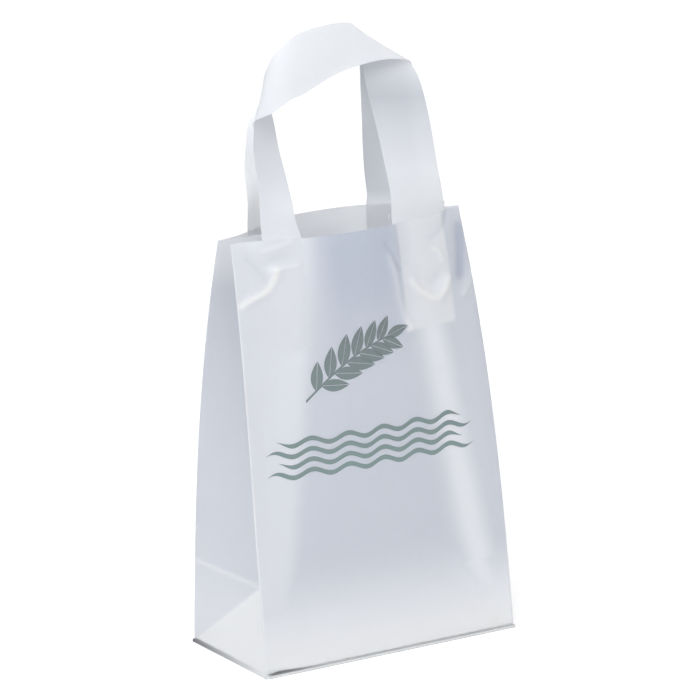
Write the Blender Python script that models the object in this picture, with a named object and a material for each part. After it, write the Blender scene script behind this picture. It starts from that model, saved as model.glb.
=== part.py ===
# Carrier bag of frosted film: a side-gusseted block-bottom body, two welded soft-loop
# handles and a loose bottom board. Metres, +Z up, the front panel faces -Y.
import math

import bmesh
import bpy
from mathutils import Vector

mm = 0.001

# driving dimensions, in millimetres
BAG_WIDTH = 203.0
BAG_DEPTH = 108.0
BAG_HEIGHT = 303.0
FILM = 0.8
CORNER_TRIM = 2.0
CREASE_WIDTH = 2.6
GUSSET_LEAN = 0.563
TOP_CHORD = 189.0
TOP_GUSSET_DEPTH = 17.0
DEPTH_TAPER = 0.556
MOUTH_TWIST = math.radians(2.0)
FRONT_BOW = 23.0
BACK_BOW = 34.0
LIP_HEIGHT = 2.2
LIP_OUT = 0.8
LIP_GROOVE = 0.9
PATCH_DEPTH = 76.0
TAPE = 0.8
SEAT_GAP = 0.3
BOARD_THICKNESS = 1.0
BOARD_INSET = 4.0
BOARD_CORNER = 3.0

# derived sizes
half_width = BAG_WIDTH / 2
half_depth = BAG_DEPTH / 2
seat_offset = FILM / 2 + SEAT_GAP + TAPE / 2

# heights of the mesh rows up the wall, closer together at the base and at the rim
base_heights = [0.0, LIP_HEIGHT, 3.6, 5.2, 9.0]
base_shares = [0.3, 0.48, 0.67, 0.85, 1.0]
wall_shares = [0.05, 0.13, 0.22, 0.32, 0.43, 0.54, 0.64, 0.73, 0.82, 0.91, 1.0]
row_heights = base_heights + [share * half_depth for share in base_shares]
row_heights += [half_depth + share * (BAG_HEIGHT - half_depth) for share in wall_shares]

# soft-loop tape above the rim: outer edge point and inner edge point at each station,
# heights counted from the rim; the two loops lean together and meet at the top
front_stations = [
    ((-71, -15, 17), (-49, -22, 17)),
    ((-70, -11, 43), (-47, -12, 38)),
    ((-71, -9, 64), (-45, 2, 59)),
    ((-70, -9, 78), (-44, 11, 80)),
    ((-70, -11, 84), (-49, 13, 103)),
    ((-56, -12, 88), (-45, 9, 120)),
    ((-41, -9, 94), (-37, 5, 130)),
    ((-27, -6, 97), (-24, 3, 138)),
    ((-3, -2, 105), (-2, 3, 141)),
    ((17, 0, 109), (16, 5, 140)),
    ((40, 1, 111), (22, 6, 136)),
    ((61, 3, 108), (25, 7, 133)),
    ((68, 7, 102), (28, 11, 123)),
    ((72, 3, 89), (32, 12, 94)),
    ((74, -4, 64), (35, 7, 70)),
    ((76, -9, 33), (33, -9, 40)),
    ((77, -13, 9), (26, -20, 12)),
]
back_stations = [
    ((-64, 21, 17), (-31, 30, 17)),
    ((-61, 24, 40), (-35, 27, 36)),
    ((-59, 24, 60), (-38, 23, 58)),
    ((-56, 25, 74), (-41, 20, 78)),
    ((-50, 26, 82), (-43, 18, 98)),
    ((-40, 27, 85), (-36, 19, 115)),
    ((-27, 26, 89), (-23, 21, 125)),
    ((-13, 25, 92), (-10, 22, 133)),
    ((8, 24, 100), (9, 22, 136)),
    ((26, 23, 104), (25, 21, 135)),
    ((48, 23, 106), (29, 21, 131)),
    ((66, 22, 103), (31, 20, 128)),
    ((72, 21, 97), (32, 19, 118)),
    ((74, 22, 84), (33, 21, 91)),
    ((78, 25, 60), (35, 24, 70)),
    ((81, 30, 33), (39, 31, 41)),
    ((84, 38, 10), (44, 40, 12)),
]
# edges of the tape at the rim and at the foot of each welded patch, outer edge first
front_edges = {
    "left_rim": (-71.0, -46.0),
    "left_foot": (-82.0, -47.0),
    "right_rim": (77.0, 25.0),
    "right_foot": (73.0, 28.0),
}
back_edges = {
    "left_rim": (-65.0, -28.0),
    "left_foot": (-66.0, -27.0),
    "right_rim": (85.0, 45.0),
    "right_foot": (87.0, 49.0),
}


def clearScene():
    for old in list(bpy.data.objects):
        bpy.data.objects.remove(old, do_unlink=True)


def smoothStep(a, b, x):
    t = min(1.0, max(0.0, (x - a) / (b - a)))
    return t * t * (3.0 - 2.0 * t)


def wallChord(v):
    """Distance between the two side edges of a panel at height v."""
    return BAG_WIDTH - (BAG_WIDTH - TOP_CHORD) * (max(0.0, v - 40.0) / (BAG_HEIGHT - 40.0)) ** 2.2


def wallDepth(v):
    """Distance between the front and back side edges, closing up towards the mouth."""
    t = v / BAG_HEIGHT
    straight = BAG_DEPTH * DEPTH_TAPER * t
    return BAG_DEPTH - straight - (BAG_DEPTH * (1.0 - DEPTH_TAPER) - TOP_GUSSET_DEPTH) * t ** 3


def panelBow(v, top):
    return top * smoothStep(0.0, 1.25, v / BAG_HEIGHT) / smoothStep(0.0, 1.25, 1.0)


def bowShape(u):
    """Share of the panel's bow, fuller to the right where no handle leg pulls it in."""
    power = 2.0 - 1.25 * smoothStep(0.0, 0.5, u)
    return max(0.0, math.sin(math.pi * u)) ** power


def twisted(x, y, v):
    angle = MOUTH_TWIST * smoothStep(0.1, 1.0, v / BAG_HEIGHT)
    return x * math.cos(angle) - y * math.sin(angle), x * math.sin(angle) + y * math.cos(angle)


def panelPoint(side, x_share, v):
    """Point on the middle of a panel's film; side is -1 for the front, 1 for the back."""
    chord = wallChord(v)
    bow = panelBow(v, FRONT_BOW if side < 0 else BACK_BOW)
    x = (x_share - 0.5) * chord
    y = side * (wallDepth(v) / 2 + bow * bowShape(x_share))
    x, y = twisted(x, y, v)
    return Vector((x, y, v))


def panelSeat(side, x, v, offset):
    """Point held a given distance inside a panel, at position x along it."""
    u = x / wallChord(v) + 0.5
    here = panelPoint(side, u, v)
    along = panelPoint(side, u + 0.01, v) - panelPoint(side, u - 0.01, v)
    low = panelPoint(side, u, max(0.0, v - 2.0))
    high = panelPoint(side, u, min(BAG_HEIGHT, v + 2.0))
    inward = along.cross(high - low).normalized()
    if inward.y * side > 0:
        inward = -inward
    return here + inward * offset


def gussetPoints(sign, v):
    """Front edge, front crease side, back crease side and back edge of one side gusset."""
    half_chord = wallChord(v) / 2
    half_gap = wallDepth(v) / 2
    front = Vector((sign * half_chord, -half_gap, v))
    back = Vector((sign * half_chord, half_gap, v))
    top_of_base = half_depth
    gap_at_tip = wallDepth(top_of_base) / 2
    tip_in = gap_at_tip * GUSSET_LEAN
    tip_height = math.sqrt(half_depth ** 2 - tip_in ** 2)
    if v < top_of_base:
        share = max(v, 3.5) / top_of_base
        inset = tip_in * v / top_of_base
        spread = half_depth * (1.0 - share) + CREASE_WIDTH / 2 * share
        x = sign * (wallChord(0.0) / 2 - inset)
        z = tip_height * v / top_of_base
        return front, Vector((x, -spread, z)), Vector((x, spread, z)), back
    push = math.sqrt(half_depth ** 2 - half_gap ** 2)
    push = tip_in + (push - tip_in) * smoothStep(top_of_base, top_of_base + 25.0, v)
    drop = (top_of_base - tip_height) * (1.0 - smoothStep(top_of_base, BAG_HEIGHT, v))
    x = sign * (half_chord - push)
    z = v - drop
    return (front, Vector((x, -CREASE_WIDTH / 2, z)), Vector((x, CREASE_WIDTH / 2, z)), back)


def rounded(before, corner, after, trim):
    """Three points that turn a sharp film fold into a small roll."""
    a = corner + (before - corner).normalized() * min(trim, (before - corner).length * 0.4)
    b = corner + (after - corner).normalized() * min(trim, (after - corner).length * 0.4)
    return [a, a * 0.25 + corner * 0.5 + b * 0.25, b]


def lipOffset(v):
    if v <= LIP_HEIGHT:
        return LIP_OUT
    if v < 4.4:
        return -LIP_GROOVE
    return -LIP_GROOVE * (1.0 - smoothStep(4.4, 9.0, v))


def wallRow(v):
    """Middle of the film all the way round the bag at one height."""
    right = gussetPoints(1, v)
    left = gussetPoints(-1, v)
    panel_shares = [i / 20 for i in range(1, 20)]

    def place(p):
        x, y = twisted(p.x, p.y, p.z)
        return Vector((x, y, p.z))

    right = [place(p) for p in right]
    left = [place(p) for p in left]
    front = [panelPoint(-1, u, v) for u in panel_shares]
    back = [panelPoint(1, u, v) for u in reversed(panel_shares)]
    row = []
    row += front
    row += rounded(front[-1], right[0], right[1], CORNER_TRIM)
    row += [right[0].lerp(right[1], 0.35), right[0].lerp(right[1], 0.68)]
    row += rounded(right[0], right[1], right[2], 0.8)
    row += rounded(right[1], right[2], right[3], 0.8)
    row += [right[2].lerp(right[3], 0.32), right[2].lerp(right[3], 0.65)]
    row += rounded(right[2], right[3], back[0], CORNER_TRIM)
    row += back
    row += rounded(back[-1], left[3], left[2], CORNER_TRIM)
    row += [left[3].lerp(left[2], 0.35), left[3].lerp(left[2], 0.68)]
    row += rounded(left[3], left[2], left[1], 0.8)
    row += rounded(left[2], left[1], left[0], 0.8)
    row += [left[1].lerp(left[0], 0.32), left[1].lerp(left[0], 0.65)]
    row += rounded(left[1], left[0], front[0], CORNER_TRIM)
    out = lipOffset(v)
    for p in row:
        p.x *= 1.0 + out / half_width
        p.y *= 1.0 + out / half_depth
    return row


def gridNormals(rows):
    """Average normal at every point of a closed band of rows, pointing away from the bag."""
    count = len(rows[0])
    sums = [[Vector() for _ in range(count)] for _ in rows]
    faces = []
    for j in range(len(rows) - 1):
        for i in range(count):
            k = (i + 1) % count
            a, b, c, d = rows[j][i], rows[j][k], rows[j + 1][k], rows[j + 1][i]
            n = (c - a).cross(d - b)
            if n.length > 1e-9:
                n.normalize()
            faces.append(((j, i), (j, k), (j + 1, k), (j + 1, i), n))
            for jj, ii in ((j, i), (j, k), (j + 1, k), (j + 1, i)):
                sums[jj][ii] += n
    for line in sums:
        for n in line:
            n.normalize()
    stretch = [[1.0] * count for _ in rows]
    for a, b, c, d, n in faces:
        for jj, ii in (a, b, c, d):
            lean = max(0.55, sums[jj][ii].dot(n))
            stretch[jj][ii] = max(stretch[jj][ii], 1.0 / lean)
    return sums, stretch


def makeObject(name, verts, faces, material, smooth_angle=35.0):
    mesh = bpy.data.meshes.new(name)
    mesh.from_pydata([tuple(v * mm) for v in verts], [], faces)
    work = bmesh.new()
    work.from_mesh(mesh)
    bmesh.ops.recalc_face_normals(work, faces=work.faces)
    for edge in work.edges:
        if len(edge.link_faces) == 2:
            edge.smooth = edge.calc_face_angle() < math.radians(smooth_angle)
    for face in work.faces:
        face.smooth = True
    work.to_mesh(mesh)
    work.free()
    piece = bpy.data.objects.new(name, mesh)
    bpy.context.scene.collection.objects.link(piece)
    piece.data.materials.append(material)
    return piece


def plainMaterial(name, colour, roughness):
    material = bpy.data.materials.new(name)
    material.use_nodes = True
    shader = material.node_tree.nodes["Principled BSDF"]
    shader.inputs["Base Color"].default_value = (*colour, 1.0)
    shader.inputs["Roughness"].default_value = roughness
    shader.inputs["Metallic"].default_value = 0.0
    return material


def buildBody(material):
    rows = [wallRow(v) for v in row_heights]
    normals, stretch = gridNormals(rows)
    count = len(rows[0])
    verts = []
    faces = []
    for side in (1, -1):
        start = len(verts)
        for j, row in enumerate(rows):
            for i, p in enumerate(row):
                q = p + normals[j][i] * (side * FILM / 2 * stretch[j][i])
                if j == 0:
                    q.z = 0.0 if side > 0 else FILM
                if j == len(rows) - 1:
                    q.z = p.z
                verts.append(q)
        for j in range(len(rows) - 1):
            for i in range(count):
                k = (i + 1) % count
                quad = (start + j * count + i, start + j * count + k,
                        start + (j + 1) * count + k, start + (j + 1) * count + i)
                faces.append(quad if side > 0 else quad[::-1])
        base = [start + i for i in range(count)]
        faces.append(tuple(base[::-1] if side > 0 else base))
    inner = len(rows) * count
    last = (len(rows) - 1) * count
    for i in range(count):
        k = (i + 1) % count
        faces.append((last + i, last + k, inner + last + k, inner + last + i))
    return makeObject("bag_body", verts, faces, material)


def splinePoint(points, t):
    """Catmull-Rom point on a list of vectors, t from 0 to len-1."""
    i = min(len(points) - 2, int(t))
    f = t - i
    p1, p2 = points[i], points[i + 1]
    p0 = points[i - 1] if i > 0 else p1 * 2 - p2
    p3 = points[i + 2] if i + 2 < len(points) else p2 * 2 - p1
    return 0.5 * ((2 * p1) + (p2 - p0) * f + (2 * p0 - 5 * p1 + 4 * p2 - p3) * f * f
                  + (3 * p1 - p0 - 3 * p2 + p3) * f ** 3)


def loopPoint(side, xyz):
    """Station point of a loop in bag space; the lowest ones lie against the panel."""
    x, y, z = xyz
    if z < 20:
        y = panelSeat(side, x, BAG_HEIGHT, seat_offset).y
    return Vector((x, y, BAG_HEIGHT + z))


def tapeStations(side):
    """Edge pairs of one handle tape from the foot of its left patch to that of its right."""
    patch_steps = [i / 6 for i in range(7)]
    edges = front_edges if side < 0 else back_edges
    loop = front_stations if side < 0 else back_stations

    def onPanel(rim_x, foot_x, share):
        x = foot_x + (rim_x - foot_x) * smoothStep(0.45, 1.0, share)
        return panelSeat(side, x, BAG_HEIGHT - PATCH_DEPTH * (1.0 - share), seat_offset)

    def patchPair(leg, share):
        rim = edges[leg + "_rim"]
        foot = edges[leg + "_foot"]
        return onPanel(rim[0], foot[0], share), onPanel(rim[1], foot[1], share)

    stations = [patchPair("left", share) for share in patch_steps]
    patch_count = len(stations)
    stations += [(loopPoint(side, outer), loopPoint(side, inner)) for outer, inner in loop]
    stations += [patchPair("right", share) for share in reversed(patch_steps)]
    return stations, patch_count


def buildHandle(name, side, material):
    stations, patch_count = tapeStations(side)
    across = 6
    outer = [s[0] for s in stations]
    inner = [s[1] for s in stations]
    last = len(stations) - 1
    grid = []
    steps_per_station = 3
    for n in range(last * steps_per_station + 1):
        t = n / steps_per_station
        a = splinePoint(outer, t)
        b = splinePoint(inner, t)
        line = []
        for i in range(across + 1):
            p = a.lerp(b, i / across)
            low = min(t, last - t)
            if low <= patch_count - 1:
                angle = MOUTH_TWIST * smoothStep(0.1, 1.0, p.z / BAG_HEIGHT)
                x = (p.x + p.y * math.sin(angle)) / math.cos(angle)
                p = panelSeat(side, x, p.z, seat_offset)
            line.append(p)
        grid.append(line)
    rows = len(grid)
    verts = []
    for sign in (1, -1):
        for j in range(rows):
            for i in range(across + 1):
                down = grid[max(0, j - 1)][i]
                up = grid[min(rows - 1, j + 1)][i]
                left = grid[j][max(0, i - 1)]
                right = grid[j][min(across, i + 1)]
                n = (right - left).cross(up - down).normalized()
                verts.append(grid[j][i] + n * (sign * TAPE / 2))
    faces = []
    size = rows * (across + 1)
    for sign, start in ((1, 0), (-1, size)):
        for j in range(rows - 1):
            for i in range(across):
                a = start + j * (across + 1) + i
                quad = (a, a + 1, a + across + 2, a + across + 1)
                faces.append(quad if sign > 0 else quad[::-1])
    for j in range(rows - 1):
        for i in (0, across):
            a = j * (across + 1) + i
            b = a + across + 1
            faces.append((a, b, b + size, a + size))
    for j in (0, rows - 1):
        for i in range(across):
            a = j * (across + 1) + i
            faces.append((a, a + 1, a + 1 + size, a + size))
    return makeObject(name, verts, faces, material, 60.0)


def buildBoard(material):
    half_x = half_width - BOARD_INSET
    half_y = half_depth - BOARD_INSET
    outline = []
    for cx, cy, start in ((1, 1, 0), (-1, 1, 90), (-1, -1, 180), (1, -1, 270)):
        for i in range(5):
            a = math.radians(start + i * 22.5)
            outline.append((cx * (half_x - BOARD_CORNER) + BOARD_CORNER * math.cos(a),
                            cy * (half_y - BOARD_CORNER) + BOARD_CORNER * math.sin(a)))
    low = FILM + SEAT_GAP
    high = low + BOARD_THICKNESS
    count = len(outline)
    verts = [Vector((x, y, low)) for x, y in outline] + [Vector((x, y, high)) for x, y in outline]
    faces = [tuple(range(count))[::-1], tuple(range(count, 2 * count))]
    for i in range(count):
        k = (i + 1) % count
        faces.append((i, k, count + k, count + i))
    return makeObject("bottom_board", verts, faces, material)


def main():
    clearScene()
    film = plainMaterial("frosted_film", (0.80, 0.83, 0.88), 0.42)
    tape = plainMaterial("handle_tape", (0.84, 0.86, 0.90), 0.40)
    board = plainMaterial("white_board", (0.90, 0.90, 0.90), 0.75)
    root = bpy.data.objects.new("carrier_bag", None)
    bpy.context.scene.collection.objects.link(root)
    pieces = [
        buildBody(film),
        buildHandle("front_handle", -1, tape),
        buildHandle("back_handle", 1, tape),
        buildBoard(board),
    ]
    for piece in pieces:
        piece.parent = root


main()
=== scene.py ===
import math

import bmesh
import bpy
import numpy as np
from mathutils import Matrix, Vector


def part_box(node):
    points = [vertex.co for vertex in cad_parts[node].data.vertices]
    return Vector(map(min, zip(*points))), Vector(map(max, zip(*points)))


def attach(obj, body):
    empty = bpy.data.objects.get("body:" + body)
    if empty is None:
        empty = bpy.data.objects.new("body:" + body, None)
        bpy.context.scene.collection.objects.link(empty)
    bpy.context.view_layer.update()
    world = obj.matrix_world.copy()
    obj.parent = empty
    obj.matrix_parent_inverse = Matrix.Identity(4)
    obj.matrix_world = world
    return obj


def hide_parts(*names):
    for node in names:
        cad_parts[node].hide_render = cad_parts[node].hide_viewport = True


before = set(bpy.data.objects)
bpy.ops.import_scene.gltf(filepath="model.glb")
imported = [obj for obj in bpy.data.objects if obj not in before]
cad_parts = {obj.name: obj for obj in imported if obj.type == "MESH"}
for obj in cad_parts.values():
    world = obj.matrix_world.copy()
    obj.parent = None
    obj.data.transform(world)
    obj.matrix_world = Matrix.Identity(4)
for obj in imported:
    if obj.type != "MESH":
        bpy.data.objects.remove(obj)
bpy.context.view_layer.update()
mm = 0.001


# shape of the bag, in millimetres
bag = {
    "width": 203.0,
    "depth": 108.0,
    "height": 303.0,
    "topChord": 189.0,
    "topGussetDepth": 17.0,
    "depthTaper": 0.556,
    "frontBow": 23.0,
    "backBow": 34.0,
    "mouthTwist": math.radians(2.0),
    "film": 0.22,
    "creaseWidth": 1.6,
    "cornerTrim": 1.6,
    "gussetLean": 0.563,
    "lipHeight": 1.9,
    "lipOut": 0.8,
    "lipGroove": 0.9,
    "panelSteps": 104,
    "gussetSteps": 20,
    "lowRows": 30,
    "lowTop": 70.0,
    "middleRows": 34,
    "middleTop": 216.0,
    "foldRows": 58,
    "straightBelow": 40.0,
}


def smoothStep(a, b, x):
    t = np.clip((np.asarray(x, float) - a) / (b - a), 0.0, 1.0)
    return t * t * (3.0 - 2.0 * t)


def maths(tree, operation, *values):
    # adds a Math node to a shader or geometry tree; each value is a number or a socket
    node = tree.nodes.new("ShaderNodeMath")
    node.operation = operation
    for socket, value in zip(node.inputs, values):
        if isinstance(value, (int, float)):
            socket.default_value = value
        else:
            tree.links.new(value, socket)
    return node.outputs[0]


def chordAt(z):
    # the panels are straight in the block bottom and narrow above it
    straight = bag["straightBelow"]
    rise = np.maximum(0.0, np.asarray(z, float) - straight) / (bag["height"] - straight)
    return bag["width"] - (bag["width"] - bag["topChord"]) * rise ** 2.2


def depthAt(z):
    # distance between the panels at their side edges, which the folding gussets draw together
    t = np.asarray(z, float) / bag["height"]
    end = bag["depth"] * (1.0 - bag["depthTaper"]) - bag["topGussetDepth"]
    return bag["depth"] * (1.0 - bag["depthTaper"] * t) - end * t ** 3


def bowAt(z, top):
    # how far a panel's middle bellies out at this height
    return top * smoothStep(0.0, 1.25, np.asarray(z, float) / bag["height"]) / smoothStep(0.0, 1.25, 1.0)


def bowShape(u):
    # flatter beside the left edge than beside the right one
    power = 2.0 - 1.25 * smoothStep(0.0, 0.5, u)
    return np.maximum(0.0, np.sin(np.pi * np.clip(u, 0.0, 1.0))) ** power


def twisted(x, y, z):
    # the mouth is turned a little against the base
    angle = bag["mouthTwist"] * smoothStep(0.1, 1.0, np.asarray(z, float) / bag["height"])
    return x * np.cos(angle) - y * np.sin(angle), x * np.sin(angle) + y * np.cos(angle)


def lineDistance(x, z, points):
    # distance from each (x, z) to the broken line through the points
    nearest = np.full_like(x, 1e9, dtype=float)
    for (ax, az), (bx, bz) in zip(points[:-1], points[1:]):
        dx, dz = bx - ax, bz - az
        along = np.clip(((x - ax) * dx + (z - az) * dz) / (dx * dx + dz * dz), 0.0, 1.0)
        nearest = np.minimum(nearest, np.hypot(x - ax - along * dx, z - az - along * dz))
    return nearest


# folds and puckers pressed into each panel: points are (x, z), height is outwards, and the last value
# paints a highlight along the fold where positive and shade where negative
frontFolds = [
    {"points": [(-93, 261), (-85, 264), (-76, 267), (-72, 270), (-67, 277), (-65, 283)],
     "width": 3.4, "height": 1.9, "paintedFoldLight": 0.9},
    {"points": [(-84, 292), (-74, 280), (-71, 272)], "width": 3.0, "height": -0.9, "paintedFoldLight": -0.2},
    {"points": [(-72, 296), (-63, 298), (-52, 302)], "width": 2.4, "height": 0.8, "paintedFoldLight": 0.3},
    {"points": [(-69, 282), (-60, 284), (-51, 285)], "width": 2.2, "height": 0.8, "paintedFoldLight": 0.3},
    {"points": [(-68, 289), (-55, 291)], "width": 2.6, "height": -0.8, "paintedFoldLight": -0.15},
    {"points": [(36, 261), (42, 254), (52, 247), (59, 246), (66, 251), (70, 257)],
     "width": 3.2, "height": 1.9, "paintedFoldLight": 0.9},
    {"points": [(45, 262), (55, 257), (62, 261)], "width": 4.5, "height": -1.0, "paintedFoldLight": -0.1},
    {"points": [(19, 283), (22, 268), (24, 250), (27, 236), (31, 230)],
     "width": 4.0, "height": 1.2, "paintedFoldLight": 0.5},
    {"points": [(18, 291), (23, 279), (28, 270)], "width": 1.8, "height": -1.2, "paintedFoldLight": -0.45},
    {"points": [(59, 280), (64, 278), (67, 270)], "width": 2.2, "height": 1.0, "paintedFoldLight": 0.4},
    {"points": [(78, 300), (70, 291), (58, 287)], "width": 3.2, "height": -0.9, "paintedFoldLight": -0.2},
    {"points": [(90, 288), (88, 274), (84, 258)], "width": 8.0, "height": -1.8, "paintedFoldLight": -1.1},
    {"points": [(97, 262), (92, 250), (84, 243)], "width": 3.0, "height": 0.9, "paintedFoldLight": 0.35},
]
backFolds = [
    {"points": [(-62, 268), (-50, 262), (-38, 266)], "width": 3.4, "height": 1.2, "paintedFoldLight": 0.4},
    {"points": [(52, 262), (66, 255), (80, 261)], "width": 3.4, "height": 1.2, "paintedFoldLight": 0.4},
]


def foldSum(x, z, folds, value, spread):
    # adds up one value of every fold, fading away from its line
    total = np.zeros_like(x, float)
    for fold in folds:
        away = lineDistance(x, z, fold["points"]) / (spread * fold["width"])
        total += fold[value] * np.exp(-away ** 2)
    return total


def slackRelief(x, z, phase):
    # slow waves of film that isn't stretched, stronger towards the mouth
    grow = smoothStep(20.0, bag["height"], z)
    wave = 0.5 * np.sin(x / 17.0 + z / 61.0 + phase) + 0.35 * np.sin(x / 9.0 - z / 43.0 + 2.1 * phase)
    wave += 0.3 * np.sin(z / 23.0 + x / 37.0 + 3.0 * phase)
    return wave * (0.15 + 0.75 * grow)


def panelPoint(side, x, z):
    # point of a panel's film at position x along its chord; side is -1 in front, 1 behind
    x = np.asarray(x, float)
    z = np.broadcast_to(np.asarray(z, float), x.shape)
    chord = chordAt(z)
    u = x / chord + 0.5
    bow = bowAt(z, bag["frontBow"] if side < 0 else bag["backBow"])
    edgeFade = smoothStep(0.0, 0.06, u) * smoothStep(0.0, 0.06, 1.0 - u) * smoothStep(8.0, 24.0, z)
    relief = foldSum(x, z, frontFolds if side < 0 else backFolds, "height", 1.0)
    relief = (relief + slackRelief(x, z, 0.4 if side < 0 else 2.3)) * edgeFade
    y = side * (depthAt(z) / 2 + bow * bowShape(u) + relief)
    px, py = twisted(x, y, z)
    return np.stack([px, py, z], -1)


def panelSeat(side, x, z, offset):
    # panel point moved a little into the bag, across the film
    here = panelPoint(side, x, z)
    along = panelPoint(side, x + 0.5, z) - panelPoint(side, x - 0.5, z)
    up = panelPoint(side, x, np.minimum(bag["height"], z + 0.5)) - panelPoint(side, x, z - 0.5)
    inward = np.cross(along, up)
    inward /= np.linalg.norm(inward, axis=-1, keepdims=True)
    inward *= np.where(inward[..., 1:2] * side > 0, -1.0, 1.0)
    return here + inward * offset


def gussetCorners(sign, z):
    # front edge, the two sides of the inner crease and the back edge of a side gusset
    halfDepth = bag["depth"] / 2
    halfChord = chordAt(z) / 2
    halfGap = depthAt(z) / 2
    tipGap = depthAt(halfDepth) / 2
    tipIn = tipGap * bag["gussetLean"]
    tipHeight = math.sqrt(halfDepth ** 2 - tipIn ** 2)
    front = (sign * halfChord, -halfGap, z)
    back = (sign * halfChord, halfGap, z)
    half = bag["creaseWidth"] / 2
    if z < halfDepth:
        share = max(z, 3.0) / halfDepth
        spread = halfDepth * (1.0 - share) + half * share
        x = sign * (chordAt(0.0) / 2 - tipIn * z / halfDepth)
        lift = tipHeight * z / halfDepth
        return [np.array(p, float) for p in (front, (x, -spread, lift), (x, spread, lift), back)]
    push = math.sqrt(halfDepth ** 2 - halfGap ** 2)
    push = tipIn + (push - tipIn) * smoothStep(halfDepth, halfDepth + 25.0, z)
    drop = (halfDepth - tipHeight) * (1.0 - smoothStep(halfDepth, bag["height"], z))
    x = sign * (halfChord - push)
    return [np.array(p, float) for p in (front, (x, -half, z - drop), (x, half, z - drop), back)]


def rounded(before, corner, after, trim, steps=4):
    # a film fold is a small roll, not a sharp line
    first = corner + (before - corner) * min(trim / np.linalg.norm(before - corner), 0.4)
    last = corner + (after - corner) * min(trim / np.linalg.norm(after - corner), 0.4)
    t = np.linspace(0.0, 1.0, steps + 1)[:, None]
    return first * (1 - t) ** 2 + corner * 2 * t * (1 - t) + last * t ** 2


# the base seam: a thin lip below a gap that opens at the front left and at the back of the left side; the
# gap, a line along the floor and the bottom of the left side carry a painted shadow
seam = {
    "gap": 0.6,
    "frontOpening": 2.6,
    "frontReach": 50.0,
    "leftFront": 0.4,
    "leftBack": 2.7,
    "contactShadow": 0.6,
    # darkness of the painted seam shadow
    "depth": 0.72,
    "cornerWhite": 3.2,
}


def seamTop(points):
    # height at which the wall starts above the base gap, for each point of a row
    x, y = points[:, 0], points[:, 1]
    halfWidth, halfDepth = bag["width"] / 2, bag["depth"] / 2
    opened = seam["frontOpening"] * (1.0 - smoothStep(0.0, seam["frontReach"], x + halfWidth)) ** 2
    front = bag["lipHeight"] + seam["gap"] + opened
    share = smoothStep(-halfDepth, halfDepth, y)
    left = seam["leftFront"] + (seam["leftBack"] - seam["leftFront"]) * share
    onLeft = smoothStep(halfWidth - 12.0, halfWidth - 3.0, -x) * smoothStep(-halfDepth, 3.0 - halfDepth, y)
    return front + (left - front) * onLeft, onLeft


def paintedSeamShadow(points, z):
    # painted shadow: 1 where a point of the row lies in the gap of the base seam, on the line along the
    # floor or low on the left side, times the shadow depth and faded off at the front left corner
    top, onLeft = seamTop(points)
    under = 1.0 - smoothStep(top - 0.7, top, z)
    aboveLip = smoothStep(bag["lipHeight"] - 0.3, bag["lipHeight"] + 0.2, z)
    contactShadow = seam["contactShadow"] * float(0.1 < z < 0.4)
    cornerX, cornerY = points[:, 0] + bag["width"] / 2, points[:, 1] + bag["depth"] / 2
    away = smoothStep(0.3, 1.0, np.hypot(cornerX, cornerY) / seam["cornerWhite"])
    return under * np.maximum(np.maximum(aboveLip, contactShadow), onLeft) * seam["depth"] * away * float(z > 0.1)


def lipOffset(points, z):
    # the lip stands out at the base, and the wall above it goes in by the groove
    top, _ = seamTop(points)
    if z <= bag["lipHeight"]:
        return np.full(len(points), bag["lipOut"])
    return -bag["lipGroove"] * (1.0 - smoothStep(top - 0.4, top + 0.8, z))


def gussetSpan(a, b, steps, trimA, trimB):
    # even points between two folds, clear of their rounding
    length = np.linalg.norm(b - a)
    t = np.linspace(trimA / length, 1.0 - trimB / length, steps + 1)[1:-1, None]
    return a + (b - a) * t


def filmRow(z):
    # one turn round the bag: front panel, right gusset, back panel, left gusset
    def placed(p):
        x, y = twisted(p[0], p[1], p[2])
        return np.array([x, y, p[2]])

    right = [placed(p) for p in gussetCorners(1, z)]
    left = [placed(p) for p in gussetCorners(-1, z)]
    u = np.linspace(0.0, 1.0, bag["panelSteps"] + 1)[1:-1]
    xs = (u - 0.5) * chordAt(z)
    front = panelPoint(-1, xs, z)
    back = panelPoint(1, xs[::-1], z)
    trim = bag["cornerTrim"]
    n = bag["gussetSteps"]
    parts = [
        front,
        rounded(front[-1], right[0], right[1], trim),
        gussetSpan(right[0], right[1], n, 2.4, 1.4),
        rounded(right[0], right[1], right[2], 0.5, 2),
        rounded(right[1], right[2], right[3], 0.5, 2),
        gussetSpan(right[2], right[3], n, 1.4, 2.4),
        rounded(right[2], right[3], back[0], trim),
        back,
        rounded(back[-1], left[3], left[2], trim),
        gussetSpan(left[3], left[2], n, 2.4, 1.4),
        rounded(left[3], left[2], left[1], 0.5, 2),
        rounded(left[2], left[1], left[0], 0.5, 2),
        gussetSpan(left[1], left[0], n, 1.4, 2.4),
        rounded(left[1], left[0], front[0], trim),
    ]
    row = np.concatenate(parts)
    out = lipOffset(row, z)
    row[:, 0] *= 1.0 + out / (bag["width"] / 2)
    row[:, 1] *= 1.0 + out / (bag["depth"] / 2)
    return row


def gridNormals(grid, closed):
    # unit normals of a (rows, columns, 3) grid; columns run round the piece when closed
    if closed:
        along = np.roll(grid, -1, 1) - np.roll(grid, 1, 1)
    else:
        along = np.gradient(grid, axis=1)
    up = np.gradient(grid, axis=0)
    normal = np.cross(along, up)
    return normal / np.maximum(np.linalg.norm(normal, axis=-1, keepdims=True), 1e-9)


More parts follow.
